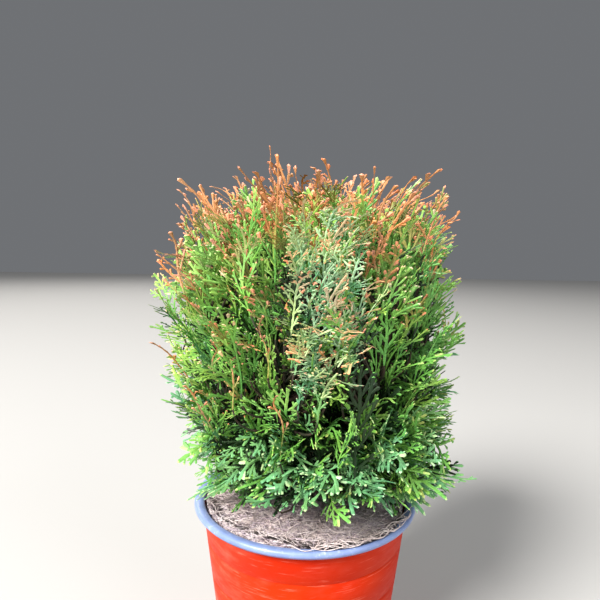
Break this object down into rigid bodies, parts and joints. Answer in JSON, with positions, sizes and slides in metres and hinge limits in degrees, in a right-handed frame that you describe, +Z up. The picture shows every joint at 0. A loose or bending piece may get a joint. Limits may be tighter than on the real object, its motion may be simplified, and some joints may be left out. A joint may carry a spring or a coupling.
{
  "type": "potted thuja",
  "caption": "Dwarf globe thuja with upright flat sprays and bronze tips, in an orange plastic pot with a pale blue rolled rim and a disc of coir round the stem.",
  "frame": {"origin": "centre of the pot's flat underside", "axes": "+Z up along the pot's axis, +Y away from the viewer of the picture, so the picture's side is -Y"},
  "size_m": [0.2023, 0.2006, 0.3464],
  "materials": {
    "pot": "slightly glossy orange-red, a little scuffed",
    "rim": "satin pale blue-grey",
    "medium": "moist, crumbly",
    "coir": "dry matted fibre",
    "bark": "rough reddish brown",
    "foliage": "matt green scale leaves",
    "foliage_tips": "matt green to bronze scale leaves"
  },
  "bodies": {
    "root": {"bough_flank_1": "bark", "bough_flank_2": "bark", "bough_flank_3": "bark", "bough_flank_4": "bark", "bough_flank_5": "bark", "bough_flank_6": "bark", "bough_flank_7": "bark", "bough_flank_8": "bark", "bough_skirt_1": "bark", "bough_skirt_2": "bark", "bough_skirt_3": "bark", "bough_skirt_4": "bark", "bough_skirt_5": "bark", "bough_skirt_6": "bark", "bough_skirt_7": "bark", "bough_top_1": "bark", "bough_top_2": "bark", "bough_top_3": "bark", "bough_top_4": "bark", "coir_disc": "coir", "foliage_flank_1": "foliage", "foliage_flank_2": "foliage", "foliage_flank_3": "foliage", "foliage_flank_4": "foliage", "foliage_flank_5": "foliage", "foliage_flank_6": "foliage", "foliage_flank_7": "foliage", "foliage_flank_8": "foliage", "foliage_skirt_1": "foliage", "foliage_skirt_2": "foliage", "foliage_skirt_3": "foliage", "foliage_skirt_4": "foliage", "foliage_skirt_5": "foliage", "foliage_skirt_6": "foliage", "foliage_skirt_7": "foliage", "foliage_top_1": "foliage_tips", "foliage_top_2": "foliage_tips", "foliage_top_3": "foliage_tips", "foliage_top_4": "foliage_tips", "growing_medium": "medium", "pot_rim": "rim", "pot_wall": "pot", "trunk": "bark"}
  },
  "joints": []
}
